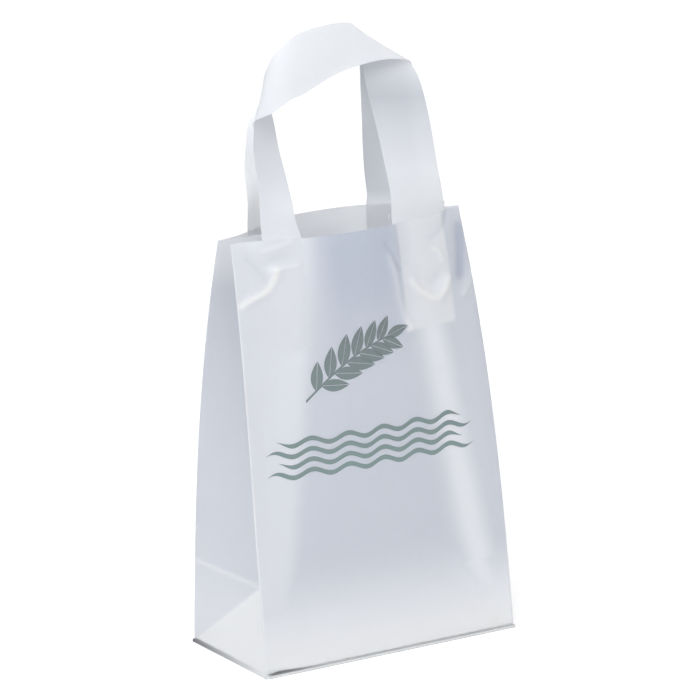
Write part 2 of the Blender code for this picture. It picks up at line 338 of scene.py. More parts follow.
def meshFromGrid(name, outer, inner, closed, caps):
    # closed skin between two grids of the same size
    rows, columns = outer.shape[:2]
    verts = np.concatenate([outer.reshape(-1, 3), inner.reshape(-1, 3)]) * mm
    index = np.arange(rows * columns).reshape(rows, columns)
    if closed:
        a, b = index, np.roll(index, -1, 1)
    else:
        a, b = index[:, :-1], index[:, 1:]
    quads = np.stack([a[:-1], b[:-1], b[1:], a[1:]], -1).reshape(-1, 4)
    size = rows * columns
    faces = quads.tolist() + (quads[:, ::-1] + size).tolist()
    top = np.stack([a[-1], b[-1], b[-1] + size, a[-1] + size], -1).reshape(-1, 4)
    faces += top.tolist()
    if caps:
        faces.append(index[0, ::-1].tolist())
        faces.append((index[0] + size).tolist())
    else:
        low = np.stack([b[0], a[0], a[0] + size, b[0] + size], -1).reshape(-1, 4)
        faces += low.tolist()
    if not closed:
        for column in (0, columns - 1):
            line = index[:, column]
            edge = np.stack([line[:-1], line[1:], line[1:] + size, line[:-1] + size], -1)
            faces += edge.tolist()
    mesh = bpy.data.meshes.new(name)
    mesh.from_pydata(verts.tolist(), [], faces)
    work = bmesh.new()
    work.from_mesh(mesh)
    bmesh.ops.recalc_face_normals(work, faces=work.faces)
    for face in work.faces:
        face.smooth = True
    for edge in work.edges:
        if len(edge.link_faces) == 2 and edge.calc_face_angle() > math.radians(50):
            edge.smooth = False
    work.to_mesh(mesh)
    work.free()
    piece = bpy.data.objects.new(name, mesh)
    bpy.context.scene.collection.objects.link(piece)
    return piece


# painted light and shade on the film: 0 is the plain panel, 1 the whitest folds, below 0 painted shade
paintedLight = {
    "baseTop": 84.0,
    "base": 1.12,
    "leftStrip": 0.58,
    "rightBand": 0.9,
    "rightBandWidth": 13.0,
    "rightStrip": 0.15,
    "leftPatch": 0.42,
    "rightPatch": 0.85,
    "patchBlur": 1.5,
    "gusset": 0.3,
    "gussetLow": 0.72,
    "gussetBase": 1.1,
    "edge": 1.0,
    "rimShade": 0.55,
    "backRim": 1.2,
    "gussetRim": 0.7,
    "gussetLine": 0.5,
    "gussetLineFront": 56.0,
    "gussetLineRise": 7.0,
    "gussetLineWidth": 1.6,
    "inside": 1.0,
    "foldSpread": 0.55,
    "lowest": -0.6,
    "highest": 1.15,
}


def creaseAt(z):
    # distance of the gusset's inner crease from the middle of the bag
    z = np.asarray(z, float)
    halfDepth = bag["depth"] / 2
    push = np.sqrt(np.maximum(0.0, halfDepth ** 2 - (depthAt(z) / 2) ** 2))
    tip = float(depthAt(halfDepth)) / 2 * bag["gussetLean"]
    push = np.where(z < halfDepth, tip * z / halfDepth, push)
    return chordAt(z) / 2 - push


def panelPaintedLight(side, x, z):
    # painted light and shade: paler over the base, the folded gussets behind the panel, the back rim and
    # the handle patches, darker across the front rim, and paler or darker along the folds
    base = paintedLight["base"] * (1.0 - smoothStep(8.0, paintedLight["baseTop"], z))
    crease = creaseAt(z)
    above = smoothStep(0.0, 30.0, z)
    left = paintedLight["leftStrip"] * smoothStep(-9.0, 8.0, -x - crease) * above
    right = paintedLight["rightStrip"] * smoothStep(-5.0, 7.0, x - crease)
    band = paintedLight["rightBand"] * np.exp(-((x - crease) / paintedLight["rightBandWidth"]) ** 2) * above
    # painted shade across the middle of the front rim, painted light along the back rim
    if side < 0:
        rim = -paintedLight["rimShade"] * smoothStep(190.0, 290.0, z) * (1.0 - smoothStep(20.0, 45.0, np.abs(x)))
    else:
        rim = paintedLight["backRim"] * smoothStep(270.0, 300.0, z)
    patch = np.zeros_like(x)
    footHeight = bag["height"] - handle["patchDepth"]
    blur = paintedLight["patchBlur"]
    loop = frontLoop if side < 0 else backLoop
    for foot, level in ((loop["leftFoot"], paintedLight["leftPatch"]), (loop["rightFoot"], paintedLight["rightPatch"])):
        low, high = min(foot), max(foot)
        inside = smoothStep(low - blur, low + blur, x) * (1.0 - smoothStep(high - blur, high + blur, x))
        patch = np.maximum(patch, level * inside * smoothStep(footHeight - blur, footHeight + blur, z))
    total = np.maximum.reduce([base, left, right, band, patch]) + rim
    # painted highlights and painted shade along the folds
    total = total + foldSum(x, z, frontFolds if side < 0 else backFolds, "paintedFoldLight", paintedLight["foldSpread"])
    return np.clip(total, paintedLight["lowest"], paintedLight["highest"])


def rowPaintedLight(row, z):
    # painted light and shade of each point in a film row, in the row's own order
    count = len(row)
    u = np.linspace(0.0, 1.0, bag["panelSteps"] + 1)[1:-1]
    xs = (u - 0.5) * chordAt(z)
    front = panelPaintedLight(-1, xs, np.full_like(xs, z))
    back = panelPaintedLight(1, xs[::-1], np.full_like(xs, z))
    sideCount = (count - 2 * len(xs)) // 2
    halfDepth = bag["depth"] / 2
    level = paintedLight["gusset"] + (paintedLight["gussetLow"] - paintedLight["gusset"]) * float(1.0 - smoothStep(20.0, 95.0, z))
    side = np.full(sideCount, level)
    if z < halfDepth:
        # points between the two diagonal folds of the block bottom get painted light
        lean = bag["gussetSteps"] + 4
        side[lean:sideCount - lean] = paintedLight["gussetBase"]
    # painted light on the gusset tops near the mouth
    side = side + paintedLight["gussetRim"] * float(smoothStep(262.0, 290.0, z))
    left = side.copy()
    depth = np.clip(row[-sideCount:, 1] / (depthAt(z) / 2), 0.0, 1.0)
    crease = paintedLight["gussetLineFront"] + paintedLight["gussetLineRise"] * depth
    width = paintedLight["gussetLineWidth"]
    # painted highlight along the gusset's crease, and painted shade above it towards the front
    left += paintedLight["gussetLine"] * np.exp(-((z - crease) / width) ** 2) * (depth > 0.02)
    above = smoothStep(0.0, 2.0, z - crease) * np.exp(-(z - crease) / 22.0)
    left -= 0.5 * paintedLight["gussetLine"] * above * (1 - depth)
    # the last five points are the rounded front left edge, which gets a painted highlight
    left[-5:] = paintedLight["edge"]
    return np.concatenate([front, side, back, left])


def storeShade(piece, name, rows, innerRows=None):
    # keeps one value for each point of the outer skin, then of the inner one
    values = np.concatenate(list(rows) + list(innerRows or rows))
    layer = piece.data.attributes.new(name, "FLOAT", "POINT")
    layer.data.foreach_set("value", values.astype(np.float32))


def makeBagFilm():
    # rows lie close together at the seam and where the folds are
    rowHeights = [0.0, 0.3, 0.7, 1.1, 1.5, 1.9, 2.3, 2.8, 3.4, 4.2, 5.2, 6.6, 8.4]
    rowHeights += list(np.linspace(10.5, bag["lowTop"], bag["lowRows"]))
    rowHeights += list(np.linspace(bag["lowTop"] + 3.0, bag["middleTop"], bag["middleRows"]))
    rowHeights += list(np.linspace(bag["middleTop"] + 2.0, bag["height"], bag["foldRows"]))
    grid = np.stack([filmRow(float(z)) for z in rowHeights])
    normal = gridNormals(grid, True)
    outer = grid + normal * bag["film"] / 2
    inner = grid - normal * bag["film"] / 2
    outer[0, :, 2] = 0.0
    inner[0, :, 2] = bag["film"]
    outer[-1, :, 2] = bag["height"]
    inner[-1, :, 2] = bag["height"]
    piece = meshFromGrid("bagFilm", outer, inner, True, True)
    # the inner skin is painted pale all over, as painted light inside the bag
    paintedLightInside = [np.full(grid.shape[1], paintedLight["inside"])] * len(rowHeights)
    paintedLightRows = [rowPaintedLight(row, float(z)) for row, z in zip(grid, rowHeights)]
    storeShade(piece, "paintedLightShade", paintedLightRows, paintedLightInside)
    # painted seam shadow on the points of the film
    storeShade(piece, "paintedSeamShadow", [paintedSeamShadow(row, z) for row, z in zip(grid, rowHeights)])
    return piece


# soft-loop tape: outer edge point and inner edge point at each station, heights above the rim
handle = {
    "film": 0.3,
    "seat": 0.35,
    "patchDepth": 76.0,
    "across": 22,
    "stepsPerStation": 10,
}
# painted light and shade along each tape, from the left patch (0) to the right one (1): paler where the
# tape faces the light, darker where it turns away
frontLoop = {
    "paintedShadePlaces": (0.0, 0.2, 0.27, 0.42, 0.55, 0.62, 0.68, 0.74, 1.0),
    "paintedShades": (0.9, 0.5, 0.1, 0.65, 0.7, 0.8, -0.5, 0.5, 0.9),
    "leftRim": (-71.0, -46.0),
    "leftFoot": (-82.0, -47.0),
    "rightRim": (77.0, 25.0),
    "rightFoot": (73.0, 28.0),
    "stations": [
        ((-71, -15, 17), (-49, -22, 17)),
        ((-70, -11, 43), (-47, -12, 38)),
        ((-71, -9, 64), (-45, 2, 59)),
        ((-70, -9, 78), (-44, 11, 80)),
        ((-70, -11, 84), (-49, 13, 103)),
        ((-56, -12, 88), (-45, 9, 120)),
        ((-41, -9, 94), (-37, 5, 130)),
        ((-27, -6, 97), (-24, 3, 138)),
        ((-3, -2, 105), (-2, 3, 141)),
        ((17, 0, 109), (16, 5, 140)),
        ((40, 1, 111), (22, 6, 136)),
        ((61, 3, 108), (25, 7, 133)),
        ((68, 7, 102), (28, 11, 123)),
        ((72, 3, 89), (32, 12, 94)),
        ((74, -4, 64), (35, 7, 70)),
        ((76, -9, 33), (33, -9, 40)),
        ((77, -13, 9), (26, -20, 12)),
    ],
}
backLoop = {
    "paintedShadePlaces": (0.0, 0.2, 0.45, 0.56, 0.62, 0.77, 0.8, 1.0),
    "paintedShades": (1.0, 1.1, 1.0, 0.9, 0.5, 0.2, 0.9, 1.0),
    "leftRim": (-65.0, -28.0),
    "leftFoot": (-66.0, -27.0),
    "rightRim": (85.0, 45.0),
    "rightFoot": (87.0, 49.0),
    "stations": [
        ((-64, 21, 17), (-31, 30, 17)),
        ((-61, 24, 40), (-35, 27, 36)),
        ((-59, 24, 60), (-38, 23, 58)),
        ((-56, 25, 74), (-41, 20, 78)),
        ((-50, 26, 82), (-43, 18, 98)),
        ((-40, 27, 85), (-36, 19, 115)),
        ((-27, 26, 89), (-23, 21, 125)),
        ((-13, 25, 92), (-10, 22, 133)),
        ((8, 24, 100), (9, 22, 136)),
        ((26, 23, 104), (25, 21, 135)),
        ((48, 23, 106), (29, 21, 131)),
        ((66, 22, 103), (31, 20, 128)),
        ((72, 21, 97), (32, 19, 118)),
        ((74, 22, 84), (33, 21, 91)),
        ((78, 25, 60), (35, 24, 70)),
        ((81, 30, 33), (39, 31, 41)),
        ((84, 38, 10), (44, 40, 12)),
    ],
}


def loopPoint(side, xyz):
    # a station's point; just above the rim it lies in line with the panel
    x, y, z = xyz
    if z < 20:
        y = panelSeat(side, np.array([x], float), np.array([bag["height"]]), handle["seat"])[0, 1]
    return np.array([x, y, bag["height"] + z], float)


def splineRow(points, t):
    # Catmull-Rom curve through the stations
    i = min(len(points) - 2, int(t))
    f = t - i
    p1, p2 = points[i], points[i + 1]
    p0 = points[i - 1] if i > 0 else p1 * 2 - p2
    p3 = points[i + 2] if i + 2 < len(points) else p2 * 2 - p1
    return 0.5 * (2 * p1 + (p2 - p0) * f + (2 * p0 - 5 * p1 + 4 * p2 - p3) * f * f
                  + (3 * p1 - p0 - 3 * p2 + p3) * f ** 3)


def makeHandle(name, side):
    # tape from patch to patch: down on the panel, up over the loop and down again
    loop = frontLoop if side < 0 else backLoop
    shares = [i / 6 for i in range(7)]

    def onPanel(rimX, footX, share):
        x = footX + (rimX - footX) * float(smoothStep(0.45, 1.0, share))
        z = bag["height"] - handle["patchDepth"] * (1.0 - share)
        return panelSeat(side, np.array([x]), np.array([z]), handle["seat"])[0]

    outer = [onPanel(loop["leftRim"][0], loop["leftFoot"][0], s) for s in shares]
    inner = [onPanel(loop["leftRim"][1], loop["leftFoot"][1], s) for s in shares]
    patchCount = len(outer)
    for a, b in loop["stations"]:
        outer.append(loopPoint(side, a))
        inner.append(loopPoint(side, b))
    for s in reversed(shares):
        outer.append(onPanel(loop["rightRim"][0], loop["rightFoot"][0], s))
        inner.append(onPanel(loop["rightRim"][1], loop["rightFoot"][1], s))
    last = len(outer) - 1
    count = last * handle["stepsPerStation"] + 1
    lines = []
    paintedShades = []
    share = np.linspace(0.0, 1.0, handle["across"] + 1)[:, None]
    for n in range(count):
        t = n / handle["stepsPerStation"]
        line = splineRow(outer, t) * (1 - share) + splineRow(inner, t) * share
        low = min(t, last - t)
        if low < patchCount + 1:
            z = np.minimum(line[:, 2], bag["height"])
            angle = bag["mouthTwist"] * smoothStep(0.1, 1.0, z / bag["height"])
            x = (line[:, 0] + line[:, 1] * np.sin(angle)) / np.cos(angle)
            seated = panelSeat(side, x, z, handle["seat"])
            seated[:, 2] += line[:, 2] - z
            held = 1.0 - float(smoothStep(patchCount - 1, patchCount + 1, low))
            line = seated * held + line * (1.0 - held)
        lines.append(line)
        # painted light and shade for this part of the tape
        level = np.interp(t / last, loop["paintedShadePlaces"], loop["paintedShades"])
        paintedShades.append(np.full(len(line), level))
    grid = np.stack(lines)
    normal = gridNormals(grid, False)
    half = handle["film"] / 2
    piece = meshFromGrid(name, grid + normal * half, grid - normal * half, False, False)
    storeShade(piece, "paintedLightShade", paintedShades)
    return piece


# the print: a sprig of leaves above four wavy bands, laid on the front panel
sprig = {
    "start": (-55.0, 190.0),
    "end": (11.0, 227.0),
    "rise": 6.0,
    "stemWidth": 1.9,
    "leafCount": 6,
    "leafLength": 23.0,
    "leafWidth": 9.5,
    "leafAngle": math.radians(44),
    "vein": 0.5,
}
waves = {
    "count": 4,
    "left": -88.0,
    "right": 79.0,
    "middle": 151.0,
    "spacing": 7.4,
    "height": 2.1,
    "length": 27.8,
    "width": 3.3,
    "inset": 9.0,
    "taper": 14.0,
    "steps": 150,
}
ink = {"lift": 0.2, "film": 0.04}
inkSeat = -(bag["film"] / 2 + ink["lift"])


def inkPatch(edgeA, edgeB, across=4):
    # grid of panel points between two edge lines given as (x, z) rows
    share = np.linspace(0.0, 1.0, across + 1)[:, None, None]
    flat = edgeA[None] * (1.0 - share) + edgeB[None] * share
    flat = flat.transpose(1, 0, 2)
    return panelSeat(-1, flat[..., 0], flat[..., 1], inkSeat)


def leafHalves(base, heading, length, width):
    # two halves of a pointed leaf with an unprinted vein between them
    t = np.linspace(0.0, 1.0, 19)
    bulge = np.sin(np.pi * t ** 0.85) ** 0.9 * width / 2 + 0.05
    along = np.array([math.cos(heading), math.sin(heading)])
    side = np.array([-along[1], along[0]])
    spine = np.array(base) + along * (t * length)[:, None]
    for sign in (1, -1):
        near = spine + side * (sign * np.minimum(sprig["vein"] / 2, 0.6 * bulge))[:, None]
        yield inkPatch(near, spine + side * (sign * bulge)[:, None])


def sprigPatches():
    start, end = np.array(sprig["start"]), np.array(sprig["end"])
    t = np.linspace(0.0, 1.0, 40)

    def stemPoint(s):
        lift = sprig["rise"] * np.sin(np.pi * s)
        return start + (end - start) * np.asarray(s)[..., None] + np.stack([0 * lift, lift], -1)

    line = stemPoint(t)
    half = sprig["stemWidth"] / 2 * (1.0 - 0.6 * t)[:, None]
    yield inkPatch(line - [0, 1] * half, line + [0, 1] * half, 2)
    for i in range(sprig["leafCount"]):
        s = 0.12 + 0.76 * i / (sprig["leafCount"] - 1)
        ahead = stemPoint(s + 0.02) - stemPoint(s)
        heading = math.atan2(ahead[1], ahead[0])
        size = 1.0 - 0.35 * abs(s - 0.4)
        for sign in (1, -1):
            place = stemPoint(s + (0.0 if sign > 0 else 0.06))
            yield from leafHalves(place, heading + sign * sprig["leafAngle"],
                                  sprig["leafLength"] * size, sprig["leafWidth"] * size)
    ahead = stemPoint(1.0) - stemPoint(0.96)
    yield from leafHalves(stemPoint(1.0), math.atan2(ahead[1], ahead[0]), sprig["leafLength"] * 0.8,
                          sprig["leafWidth"] * 0.8)


def wavyBandsTree():
    # flat bands in panel millimetres: x along the panel, z up it; every second band is shorter
    tree = bpy.data.node_groups.new("wavyBands", "GeometryNodeTree")
    tree.interface.new_socket("Geometry", in_out="OUTPUT", socket_type="NodeSocketGeometry")
    for label in ("Count", "Steps"):
        tree.interface.new_socket(label, in_out="INPUT", socket_type="NodeSocketInt")
    for label in ("Left", "Right", "Middle", "Spacing", "Height", "Length", "Width", "Inset", "Taper"):
        tree.interface.new_socket(label, in_out="INPUT", socket_type="NodeSocketFloat")
    tree.interface.new_socket("Material", in_out="INPUT", socket_type="NodeSocketMaterial")
    nodes, links = tree.nodes, tree.links
    given = nodes.new("NodeGroupInput").outputs
    strip = nodes.new("GeometryNodeMeshGrid")
    strip.inputs["Vertices Y"].default_value = 3
    links.new(given["Steps"], strip.inputs["Vertices X"])
    places = nodes.new("GeometryNodeMeshLine")
    places.inputs["Offset"].default_value = (0.0, 0.0, 0.0)
    links.new(given["Count"], places.inputs["Count"])
    copies = nodes.new("GeometryNodeInstanceOnPoints")
    links.new(places.outputs["Mesh"], copies.inputs["Points"])
    links.new(strip.outputs["Mesh"], copies.inputs["Instance"])
    number = nodes.new("GeometryNodeStoreNamedAttribute")
    number.domain = "INSTANCE"
    number.data_type = "FLOAT"
    number.inputs["Name"].default_value = "band"
    links.new(copies.outputs["Instances"], number.inputs["Geometry"])
    links.new(nodes.new("GeometryNodeInputIndex").outputs[0], number.inputs["Value"])
    real = nodes.new("GeometryNodeRealizeInstances")
    links.new(number.outputs["Geometry"], real.inputs["Geometry"])
    named = nodes.new("GeometryNodeInputNamedAttribute")
    named.data_type = "FLOAT"
    named.inputs["Name"].default_value = "band"
    band = named.outputs["Attribute"]
    spot = nodes.new("ShaderNodeSeparateXYZ")
    links.new(nodes.new("GeometryNodeInputPosition").outputs[0], spot.inputs[0])
    inset = maths(tree, "MULTIPLY", maths(tree, "MODULO", band, 2.0), given["Inset"])
    low = maths(tree, "ADD", given["Left"], inset)
    high = maths(tree, "SUBTRACT", given["Right"], inset)
    share = maths(tree, "ADD", spot.outputs["X"], 0.5)
    x = maths(tree, "MULTIPLY_ADD", maths(tree, "SUBTRACT", high, low), share, low)
    ends = maths(tree, "MINIMUM", maths(tree, "SUBTRACT", x, low), maths(tree, "SUBTRACT", high, x))
    taper = nodes.new("ShaderNodeMapRange")
    taper.interpolation_type = "SMOOTHSTEP"
    taper.inputs["From Min"].default_value = -1.0
    links.new(given["Taper"], taper.inputs["From Max"])
    links.new(ends, taper.inputs["Value"])
    fromMiddle = maths(tree, "MULTIPLY_ADD", maths(tree, "SUBTRACT", given["Count"], 1.0), -0.5, band)
    level = maths(tree, "MULTIPLY_ADD", given["Spacing"], fromMiddle, given["Middle"])
    turn = maths(tree, "DIVIDE", maths(tree, "SUBTRACT", x, given["Left"]), given["Length"])
    wave = maths(tree, "SINE", maths(tree, "MULTIPLY", turn, 2.0 * math.pi))
    line = maths(tree, "MULTIPLY_ADD", given["Height"], wave, level)
    across = maths(tree, "MULTIPLY", maths(tree, "MULTIPLY", spot.outputs["Y"], given["Width"]),
                   taper.outputs["Result"])
    place = nodes.new("ShaderNodeCombineXYZ")
    links.new(x, place.inputs["X"])
    links.new(maths(tree, "ADD", line, across), place.inputs["Z"])
    moved = nodes.new("GeometryNodeSetPosition")
    links.new(real.outputs["Geometry"], moved.inputs["Geometry"])
    links.new(place.outputs[0], moved.inputs["Position"])
    painted = nodes.new("GeometryNodeSetMaterial")
    links.new(moved.outputs["Geometry"], painted.inputs["Geometry"])
    links.new(given["Material"], painted.inputs["Material"])
    links.new(painted.outputs["Geometry"], nodes.new("NodeGroupOutput").inputs["Geometry"])
    return tree


def plainMeshFrom(tree, values):
    # runs the tree with its named inputs and keeps the result as an ordinary mesh
    holder = bpy.data.objects.new("holder", bpy.data.meshes.new("holder"))
    bpy.context.scene.collection.objects.link(holder)
    modifier = holder.modifiers.new("made", "NODES")
    modifier.node_group = tree
    for item in tree.interface.items_tree:
        if item.in_out == "INPUT":
            modifier[item.identifier] = values[item.name]
    done = holder.evaluated_get(bpy.context.evaluated_depsgraph_get())
    mesh = bpy.data.meshes.new_from_object(done)
    bpy.data.objects.remove(holder, do_unlink=True)
    return mesh


def wavePatches():
    mesh = plainMeshFrom(wavyBandsTree(), {
        "Count": waves["count"], "Steps": waves["steps"], "Left": waves["left"], "Right": waves["right"],
        "Middle": waves["middle"], "Spacing": waves["spacing"], "Height": waves["height"],
        "Length": waves["length"], "Width": waves["width"], "Inset": waves["inset"],
        "Taper": waves["taper"], "Material": inkMaterial,
    })
    flat = np.empty(len(mesh.vertices) * 3)
    mesh.vertices.foreach_get("co", flat)
    for band in flat.reshape(waves["count"], waves["steps"], 3, 3):
        yield panelSeat(-1, band[..., 0], band[..., 2], inkSeat)


def makePrint():
    parts = []
    for patch in list(sprigPatches()) + list(wavePatches()):
        normal = gridNormals(patch, False)
        half = ink["film"] / 2
        parts.append(meshFromGrid("inkPart", patch + normal * half, patch - normal * half, False, False))
    work = bmesh.new()
    for part in parts:
        work.from_mesh(part.data)
        bpy.data.objects.remove(part, do_unlink=True)
    mesh = bpy.data.meshes.new("frontPrint")
    work.to_mesh(mesh)
    work.free()
    piece = bpy.data.objects.new("frontPrint", mesh)
    bpy.context.scene.collection.objects.link(piece)
    return piece


board = {"cornerRadius": 3.0, "cornerSteps": 5, "edgeRadius": 0.1}


def makeBoard():
    low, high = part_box("bottom_board")
    mesh = bpy.data.meshes.new("bottomBoard")
    work = bmesh.new()
    bmesh.ops.create_cube(work, size=1.0)
    size = high - low
    centre = (high + low) / 2
    for v in work.verts:
        v.co = Vector((v.co.x * size.x, v.co.y * size.y, v.co.z * size.z)) + centre
    upright = [e for e in work.edges if abs(e.verts[0].co.z - e.verts[1].co.z) > 1e-6]
    bmesh.ops.bevel(work, geom=upright, offset=board["cornerRadius"] * mm,
                     segments=board["cornerSteps"], affect="EDGES", profile=0.5)
    bmesh.ops.bevel(work, geom=list(work.edges), offset=board["edgeRadius"] * mm, segments=1,
                     affect="EDGES", profile=0.5)
    work.to_mesh(mesh)
    work.free()
    piece = bpy.data.objects.new("bottomBoard", mesh)
    bpy.context.scene.collection.objects.link(piece)
    return piece


print("materials")
finish = {
    "filmColour": (0.70, 0.732, 0.80),
    # pale colour that the painted light mixes towards
    "paintedLightColour": (0.952, 0.965, 0.993),
    # near-black of the painted seam shadow
    "seamShadowColour": (0.03, 0.035, 0.05),
    "filmRoughness": 0.42,
    "filmTransmission": 0.42,
    "filmIor": 1.2,
    "tapeColour": (0.73, 0.757, 0.80),
    "tapeTransmission": 0.28,
    "boardColour": (0.93, 0.93, 0.93),
    "boardRoughness": 0.7,
    "inkHigh": (0.148, 0.176, 0.183),
    "inkLow": (0.195, 0.268, 0.266),
    "inkRoughness": 0.5,
    "inkFadeFrom": 0.138,
    "inkFadeTo": 0.25,
    "inkMottleScale": 28.0,
    "inkMottleShare": 0.5,
    "boardGrainScale": 300.0,
    "boardGrainShade": 0.97,
    "grainScale": 900.0,
    "rippleScale": 62.0,
    "grainShare": 0.03,
    "rippleStrength": 0.35,
    "rippleDistance": 0.0014,
}


def colourBlend(nodes):
    blend = nodes.new("ShaderNodeMix")
    blend.data_type = "RGBA"
    return blend


def noiseAt(nodes, links, place, scale, detail):
    noise = nodes.new("ShaderNodeTexNoise")
    noise.inputs["Scale"].default_value = scale
    noise.inputs["Detail"].default_value = detail
    links.new(place.outputs["Object"], noise.inputs["Vector"])
    return noise


def frostedSkinGroup():
    # film and tape share this: painted light and shade and the painted seam shadow kept on the points, and
    # a fine uneven skin
    group = bpy.data.node_groups.new("frostedSkin", "ShaderNodeTree")
    for label in ("Plain Colour", "Painted Light Colour", "Seam Shadow Colour"):
        group.interface.new_socket(label, in_out="INPUT", socket_type="NodeSocketColor")
    group.interface.new_socket("Colour", in_out="OUTPUT", socket_type="NodeSocketColor")
    group.interface.new_socket("Normal", in_out="OUTPUT", socket_type="NodeSocketVector")
    nodes, links = group.nodes, group.links
    given = nodes.new("NodeGroupInput")
    result = nodes.new("NodeGroupOutput")
    # painted light and shade from the points mixes the plain colour towards the pale one
    paintedLightShade = nodes.new("ShaderNodeAttribute")
    paintedLightShade.attribute_name = "paintedLightShade"
    blend = colourBlend(nodes)
    blend.clamp_factor = False
    blend.clamp_result = True
    links.new(paintedLightShade.outputs["Fac"], blend.inputs[0])
    links.new(given.outputs["Plain Colour"], blend.inputs[6])
    links.new(given.outputs["Painted Light Colour"], blend.inputs[7])
    # painted shadow in the base seam darkens the colour towards the seam shadow colour
    gap = nodes.new("ShaderNodeAttribute")
    gap.attribute_name = "paintedSeamShadow"
    darken = colourBlend(nodes)
    links.new(gap.outputs["Fac"], darken.inputs[0])
    links.new(blend.outputs[2], darken.inputs[6])
    links.new(given.outputs["Seam Shadow Colour"], darken.inputs[7])
    links.new(darken.outputs[2], result.inputs["Colour"])
    place = nodes.new("ShaderNodeTexCoord")
    grain = noiseAt(nodes, links, place, finish["grainScale"], 3.0)
    ripple = noiseAt(nodes, links, place, finish["rippleScale"], 2.0)
    both = maths(group, "MULTIPLY_ADD", grain.outputs["Fac"], finish["grainShare"], ripple.outputs["Fac"])
    bump = nodes.new("ShaderNodeBump")
    bump.inputs["Strength"].default_value = finish["rippleStrength"]
    bump.inputs["Distance"].default_value = finish["rippleDistance"]
    links.new(both, bump.inputs["Height"])
    links.new(bump.outputs["Normal"], result.inputs["Normal"])
    return group


frostedSkin = frostedSkinGroup()


def newMaterial(name, roughness):
    material = bpy.data.materials.new(name)
    material.use_nodes = True
    shader = material.node_tree.nodes["Principled BSDF"]
    shader.inputs["Roughness"].default_value = roughness
    return material, material.node_tree.nodes, material.node_tree.links, shader


def frostedMaterial(name, colour, transmission):
    material, nodes, links, shader = newMaterial(name, finish["filmRoughness"])
    shader.inputs["Transmission Weight"].default_value = transmission
    shader.inputs["IOR"].default_value = finish["filmIor"]
    skin = nodes.new("ShaderNodeGroup")
    skin.node_tree = frostedSkin
    skin.inputs["Plain Colour"].default_value = (*colour, 1.0)
    skin.inputs["Painted Light Colour"].default_value = (*finish["paintedLightColour"], 1.0)
    skin.inputs["Seam Shadow Colour"].default_value = (*finish["seamShadowColour"], 1.0)
    links.new(skin.outputs["Colour"], shader.inputs["Base Color"])
    links.new(skin.outputs["Normal"], shader.inputs["Normal"])
    return material


def boardSurface(name, colour):
    material, nodes, links, shader = newMaterial(name, finish["boardRoughness"])
    place = nodes.new("ShaderNodeTexCoord")
    grain = noiseAt(nodes, links, place, finish["boardGrainScale"], 2.0)
    blend = colourBlend(nodes)
    blend.inputs[6].default_value = (*[c * finish["boardGrainShade"] for c in colour], 1.0)
    blend.inputs[7].default_value = (*colour, 1.0)
    links.new(grain.outputs["Fac"], blend.inputs[0])
    links.new(blend.outputs[2], shader.inputs["Base Color"])
    return material


def inkSurface(name):
    # slate grey at the top of the print, fading to a grey teal below
    material, nodes, links, shader = newMaterial(name, finish["inkRoughness"])
    place = nodes.new("ShaderNodeTexCoord")
    split = nodes.new("ShaderNodeSeparateXYZ")
    links.new(place.outputs["Object"], split.inputs[0])
    height = nodes.new("ShaderNodeMapRange")
    height.inputs["From Min"].default_value = finish["inkFadeFrom"]
    height.inputs["From Max"].default_value = finish["inkFadeTo"]
    links.new(split.outputs["Z"], height.inputs["Value"])
    grain = noiseAt(nodes, links, place, finish["inkMottleScale"], 2.0)
    share = finish["inkMottleShare"]
    mottle = maths(material.node_tree, "MULTIPLY_ADD", grain.outputs["Fac"], share, -share / 2)
    total = maths(material.node_tree, "ADD", height.outputs[0], mottle)
    total.node.use_clamp = True
    blend = colourBlend(nodes)
    blend.inputs[6].default_value = (*finish["inkLow"], 1.0)
    blend.inputs[7].default_value = (*finish["inkHigh"], 1.0)
    links.new(total, blend.inputs[0])
    links.new(blend.outputs[2], shader.inputs["Base Color"])
    return material


filmMaterial = frostedMaterial("frostedFilm", finish["filmColour"], finish["filmTransmission"])
tapeMaterial = frostedMaterial("handleTape", finish["tapeColour"], finish["tapeTransmission"])
boardMaterial = boardSurface("whiteBoard", finish["boardColour"])
inkMaterial = inkSurface("printInk")

print("pieces")
bagFilm = makeBagFilm()
frontHandle = makeHandle("frontHandle", -1)
backHandle = makeHandle("backHandle", 1)
bottomBoard = makeBoard()
frontPrint = makePrint()
for piece, node, slotName, material in (
    (bagFilm, "bag_body", "frosted_film", filmMaterial),
    (frontHandle, "front_handle", "handle_tape", tapeMaterial),
    (backHandle, "back_handle", "handle_tape", tapeMaterial),
    (bottomBoard, "bottom_board", "white_board", boardMaterial),
):
    piece.data.materials.clear()
    piece.data.materials.append(material)
    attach(piece, "root")
    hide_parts(node)
frontPrint.data.materials.clear()
frontPrint.data.materials.append(inkMaterial)
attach(frontPrint, "root")

print("stage")
stageLook = {
    "backdrop": 1.0,
    "ambient": 0.73,
    "keyPower": 34.0,
    "fillPower": 5.0,
    "keyPlace": (-1.6, -1.4, 2.0),
    "keySize": 1.4,
    "fillPlace": (1.8, -1.6, 1.2),
    "fillSize": 1.6,
    "lampAim": (0.0, 0.0, 0.2),
    "floorColour": 0.80,
    "floorGlow": 0.40,
    "floorRoughness": 0.9,
    "floorReach": 8.0,
}


def seeingRays(tree):
    # 1 for the rays that see what is behind the bag: from the camera, off gloss and through the film
    rays = tree.nodes.new("ShaderNodeLightPath").outputs
    straight = maths(tree, "MAXIMUM", rays["Is Camera Ray"], rays["Is Glossy Ray"])
    return maths(tree, "MAXIMUM", straight, rays["Is Transmission Ray"])


